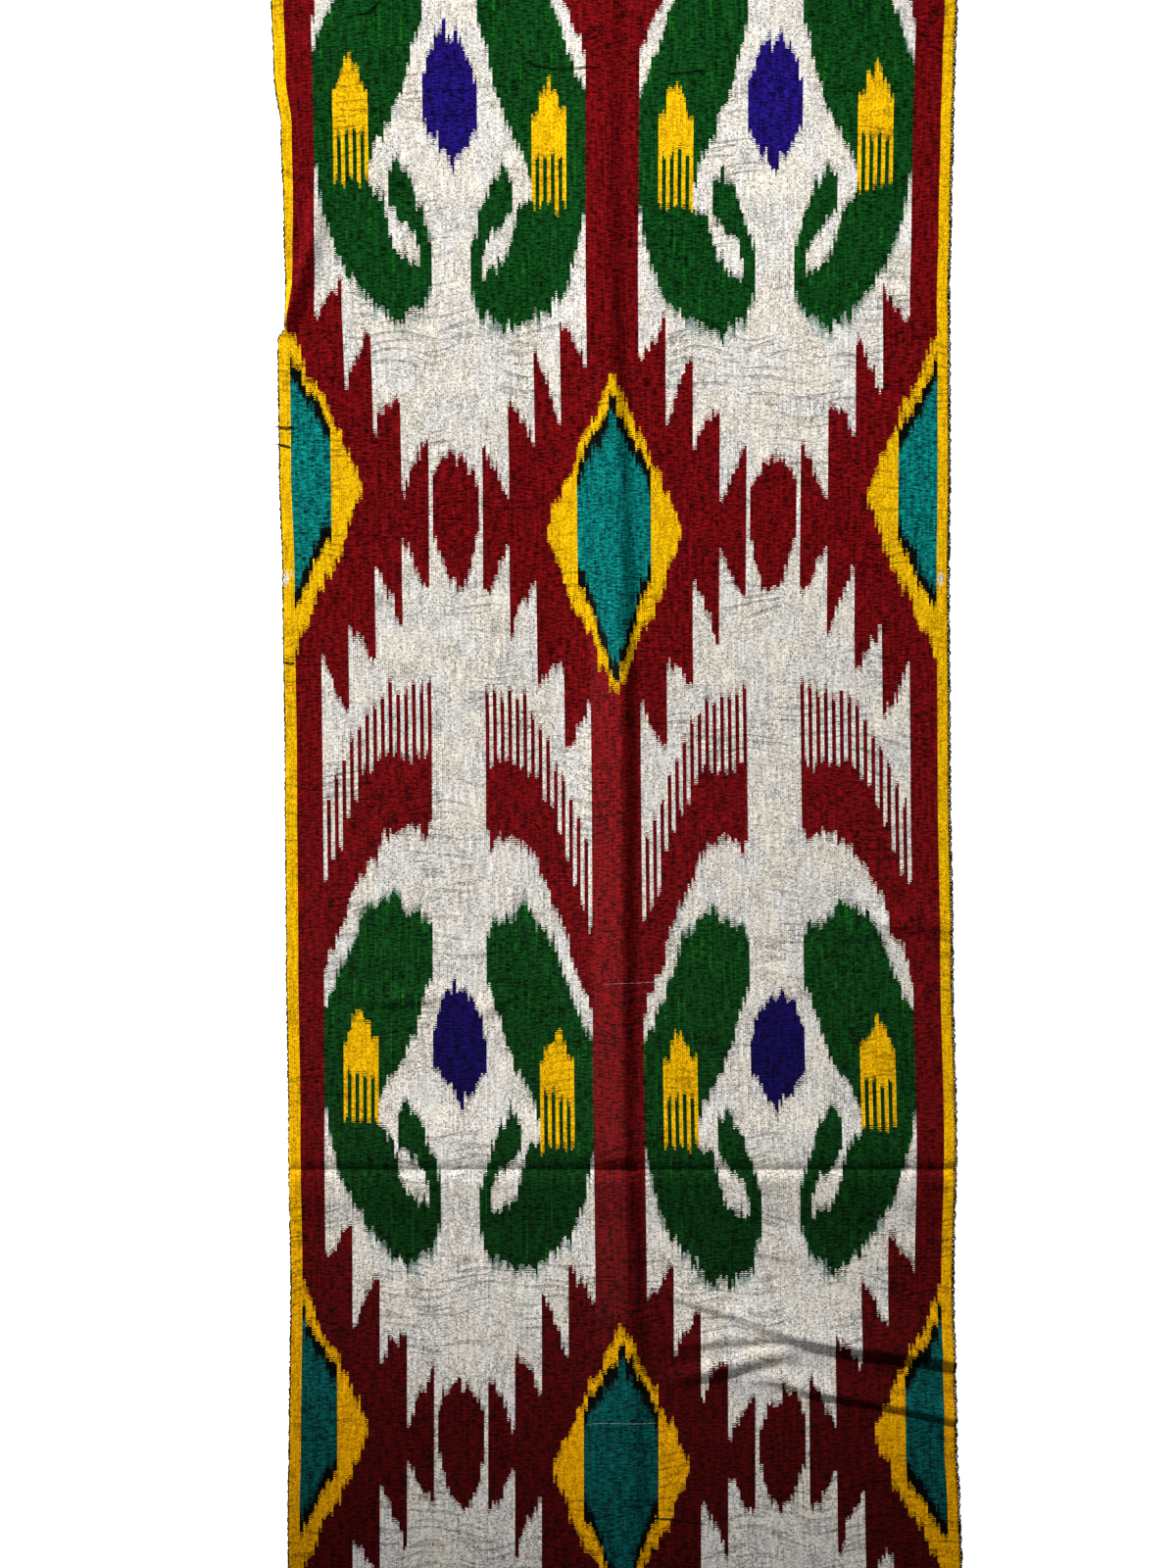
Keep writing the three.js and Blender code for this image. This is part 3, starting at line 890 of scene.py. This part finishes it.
def yarn_tree():
    """A round yarn along a line, tapering at both its ends."""
    tree, w, given = node_tree("Loose Yarn", "Yarn Radius", "Step")
    line = w.chain(given["Path"], "GeometryNodeMeshToCurve")
    line = w.chain(line, "GeometryNodeCurveSplineType", spline_type="CATMULL_ROM")
    line = w.chain(line, "GeometryNodeResampleCurve", {"Length": given["Step"]}, mode="LENGTH")
    along = Signal(w, w.add("GeometryNodeSplineParameter").outputs["Factor"])
    taper = w.math("MINIMUM", (1 - abs(along * 2 - 1)) * 5 + 0.35, 1.0)
    close_tree(w, yarn_along(w, line, given, 6, Fill_Caps=True, Scale=taper), given)
    return tree


def grow(name, points, tree, values, shares=None):
    """A plain mesh that a tree of geometry nodes makes along a line of points, with their shares."""
    path = bpy.data.meshes.new(name)
    path.from_pydata([Vector(p) for p in points], [(i, i + 1) for i in range(len(points) - 1)], [])
    if shares is not None:
        path.attributes.new("share", "FLOAT", "POINT").data.foreach_set("value", shares)
    made = show(name, path)
    modifier = made.modifiers.new("Threads", "NODES")
    modifier.node_group = tree
    for item in tree.interface.items_tree:
        if item.name in values:
            modifier[item.identifier] = values[item.name]
    graph = bpy.context.evaluated_depsgraph_get()
    grown = bpy.data.meshes.new_from_object(made.evaluated_get(graph))
    grown.materials.clear()
    grown.materials.append(values["Material"])
    made.modifiers.clear()
    made.data = grown
    grown.name = name
    bpy.data.meshes.remove(path)
    if not grown.polygons:
        raise RuntimeError(f"{name} has no faces")
    return made


def divide(steps):
    """Marks from 0 on, each step of the table being (until, pieces)."""
    marks, start = [0.0], 0.0
    for until, pieces in steps:
        marks += [start + (until - start) * i / pieces for i in range(1, pieces + 1)]
        start = until
    return np.array(marks)


class OBJECT_OT_ikat_sheet(bpy.types.Operator):
    """Weaves the sheet, with its folds and its dyed warp"""

    bl_idname = "object.ikat_sheet"
    bl_label = "Woven Sheet"
    # How far each stretch of faces runs, and how many lie in it: in bundles from the middle, and in
    # millimetres from the upper cut end.
    ACROSS = [(12, 12), (24, 8), (66, 24), (78, 9), (84, 9), (EDGE, 5)]
    ALONG = [
        (90, 20), (225, 44), (600, 84), (660, 26), (735, 22), (754, 20), (800, 18), (915, 92), (LENGTH, 20)]

    def execute(self, context):
        sizes = context.scene.ikat_cloth
        half = divide(self.ACROSS)
        bundles = np.concatenate([-half[:0:-1], half])
        marks = divide(self.ALONG)
        across, along = np.concatenate([place_of(bundles, mark) for mark in marks], axis=1)
        heights = underside_of(across, along, sizes)
        wide, deep = len(bundles), len(marks)
        faces = [
            (r * wide + c, (r + 1) * wide + c, (r + 1) * wide + c + 1, r * wide + c + 1)
            for r in range(deep - 1) for c in range(wide - 1)
        ]
        mesh = bpy.data.meshes.new("cloth")
        mesh.from_pydata(np.stack([across * MM, along * MM, heights], 1).tolist(), [], faces)
        shares = np.tile((bundles + EDGE) / (2 * EDGE), deep), np.repeat(1 - marks / LENGTH, wide)
        weave = np.stack(shares, 1)
        corners = np.zeros(len(mesh.loops), np.int32)
        mesh.loops.foreach_get("vertex_index", corners)
        mesh.uv_layers.new(name="weave").uv.foreach_set("vector", weave[corners].astype(np.float32).ravel())
        mesh.shade_smooth()
        mesh.materials.append(material_of("warp ikat", ikat_material, context.scene.ikat_dyes))
        cloth = show("cloth", mesh)
        solidify = cloth.modifiers.new("Thickness", "SOLIDIFY")
        solidify.thickness = sizes.thickness
        solidify.offset = 1
        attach(cloth, "root")
        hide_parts("ikat_cloth")
        return {"FINISHED"}


class OBJECT_OT_ikat_selvages(bpy.types.Operator):
    """Turns the weft back in loops along both selvages"""

    bl_idname = "object.ikat_selvages"
    bl_label = "Selvage Loops"

    def execute(self, context):
        sizes, yarns = context.scene.ikat_cloth, context.scene.ikat_yarns
        material = material_of("turned weft", yarn_material, context.scene.ikat_dyes.black)
        tree = loop_tree()
        for row in SELVAGES:
            points = []
            for mark in np.arange(2, LENGTH - 1, 2.5):
                across, along = place_of([row.side * (EDGE - 0.1)], mark)
                height = max(top_of(across, along, sizes)[0] - sizes.thickness / 2, yarns.yarn + 0.3 * MM)
                points.append((across[0] * MM, along[0] * MM, height))
            piece = grow(row.name, points, tree, {
                "Spacing": yarns.loop_spacing, "Loop Radius": yarns.loop_radius * row.size,
                "Yarn Radius": yarns.yarn, "Turn": row.turn, "Seed": row.seed, "Material": material})
            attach(piece, "root")
        return {"FINISHED"}


class OBJECT_OT_ikat_cut_ends(bpy.types.Operator):
    """Leaves short warp ends along both cut ends"""

    bl_idname = "object.ikat_cut_ends"
    bl_label = "Cut Ends"

    def execute(self, context):
        sizes, yarns = context.scene.ikat_cloth, context.scene.ikat_yarns
        material = material_of("warp ikat", ikat_material, context.scene.ikat_dyes)
        tree = fray_tree()
        bundles = np.linspace(-EDGE + 0.4, EDGE - 0.4, 120)
        for row in CUT_ENDS:
            across, along = place_of(bundles, row.mark)
            heights = top_of(across, along, sizes) - sizes.thickness / 2
            points = np.stack([across * MM, along * MM, heights], 1)
            piece = grow(row.name, points, tree, {
                "Spacing": yarns.fray_spacing, "Length": yarns.fray_length, "Yarn Radius": yarns.warp_end,
                "Turn": row.turn, "Reach": row.reach, "Seed": row.seed, "Material": material,
            }, (bundles + EDGE) / (2 * EDGE))
            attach(piece, "root")
        return {"FINISHED"}


class OBJECT_OT_ikat_loose_yarns(bpy.types.Operator):
    """Lays the loose and pulled threads on the cloth"""

    bl_idname = "object.ikat_loose_yarns"
    bl_label = "Loose Threads"

    def execute(self, context):
        sizes, dyes = context.scene.ikat_cloth, context.scene.ikat_dyes
        tree = yarn_tree()
        for yarn in LOOSE_YARNS:
            across, along = np.array(yarn.path, float).T
            rise = np.sin(np.linspace(0, math.pi, len(across))) * yarn.height
            heights = top_of(across, along, sizes) + (rise + yarn.thick * 0.1) * MM
            points = np.stack([across * MM, along * MM, heights], 1)
            material = material_of(yarn.dye + " yarn", yarn_material, getattr(dyes, yarn.dye))
            piece = grow("yarn_" + yarn.name, points, tree, {
                "Yarn Radius": yarn.thick / 2 * MM, "Step": MM, "Material": material})
            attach(piece, "root")
        return {"FINISHED"}


class OBJECT_OT_ikat_studio(bpy.types.Operator):
    """Sets the pale floor, the lamps and the camera over the cloth"""

    bl_idname = "object.ikat_studio"
    bl_label = "Studio"

    def execute(self, context):
        studio = context.scene.ikat_studio
        self.floor(studio)
        self.lamps(context, studio)
        self.sky(context, studio)
        self.camera(context, studio)
        context.scene.view_settings.view_transform = "Standard"
        return {"FINISHED"}

    def floor(self, studio):
        low, high = -FLOOR_HALF, FLOOR_HALF
        mesh = bpy.data.meshes.new("floor")
        mesh.from_pydata([(low, low, 0), (high, low, 0), (high, high, 0), (low, high, 0)], [], [(0, 1, 2, 3)])
        material, w = new_material("floor", studio.floor)
        add_shader(w, studio.floor, Roughness=0.9, Emission_Color=(1, 1, 1), Emission_Strength=studio.glow)
        mesh.materials.append(material)
        floor = show("floor", mesh)
        floor.location.z = FLOOR_HEIGHT

    def lamps(self, context, studio):
        for row in LAMPS:
            lamp = bpy.data.lights.new(row.name, "SPOT")
            lamp.energy, lamp.shadow_soft_size, lamp.color = studio.key * row.share, LAMP_RADIUS, LAMP_COLOUR
            lamp.spot_size, lamp.spot_blend = math.radians(row.cone), row.blend
            placed = bpy.data.objects.new(row.name, lamp)
            placed.location = row.place
            beam = Vector((*row.aim, 0)) - placed.location
            placed.rotation_euler = beam.to_track_quat("-Z", "Y").to_euler()
            context.scene.collection.objects.link(placed)

    def sky(self, context, studio):
        """A faint even light from all round."""
        world = bpy.data.worlds.new("studio")
        world.use_nodes = True
        w = Wiring(world.node_tree)
        light = world.node_tree.nodes["Background"]
        w.join(SKY_COLOUR, light.inputs["Color"])
        w.join(studio.fill, light.inputs["Strength"])
        context.scene.world = world

    def camera(self, context, studio):
        """Straight over the cloth: the picture's height takes in a little less than its length."""
        view = bpy.data.cameras.new("camera")
        view.lens = view.sensor_width * studio.distance / (PICTURE_TALL * ROW * MM)
        camera = bpy.data.objects.new("camera", view)
        camera.location = ((PICTURE_WIDE / 2 - MIDDLE_COLUMN) * ROW * MM, 0, studio.distance)
        context.scene.collection.objects.link(camera)
        context.scene.camera = camera


class VIEW3D_PT_ikat_cloth(bpy.types.Panel):
    """Lists what can be made and the sizes and colours that it takes"""

    bl_label = "Ikat Cloth"
    bl_space_type = "VIEW_3D"
    bl_region_type = "UI"
    bl_category = "Ikat Cloth"

    def draw(self, context):
        for maker in MAKERS:
            self.layout.operator(maker.bl_idname)
        for name, _ in GROUPS:
            box = self.layout.box()
            group = getattr(context.scene, name)
            for key in group.__annotations__:
                box.prop(group, key)


GROUPS = (
    ("ikat_cloth", ClothSizes), ("ikat_dyes", DyeColours),
    ("ikat_yarns", YarnSizes), ("ikat_studio", StudioSettings),
)
MAKERS = (
    OBJECT_OT_ikat_selvages,
    OBJECT_OT_ikat_cut_ends,
    OBJECT_OT_ikat_loose_yarns,
    OBJECT_OT_ikat_sheet,
    OBJECT_OT_ikat_studio,
)


def register():
    for name, group in GROUPS:
        bpy.utils.register_class(group)
        setattr(bpy.types.Scene, name, bpy.props.PointerProperty(type=group))
    for maker in (*MAKERS, VIEW3D_PT_ikat_cloth):
        bpy.utils.register_class(maker)


def unregister():
    for maker in reversed((*MAKERS, VIEW3D_PT_ikat_cloth)):
        bpy.utils.unregister_class(maker)
    for name, group in reversed(GROUPS):
        delattr(bpy.types.Scene, name)
        bpy.utils.unregister_class(group)


def main():
    register()
    bpy.ops.object.ikat_selvages()
    bpy.ops.object.ikat_cut_ends()
    bpy.ops.object.ikat_loose_yarns()
    bpy.ops.object.ikat_sheet()
    bpy.ops.object.ikat_studio()


if __name__ == "__main__":
    main()
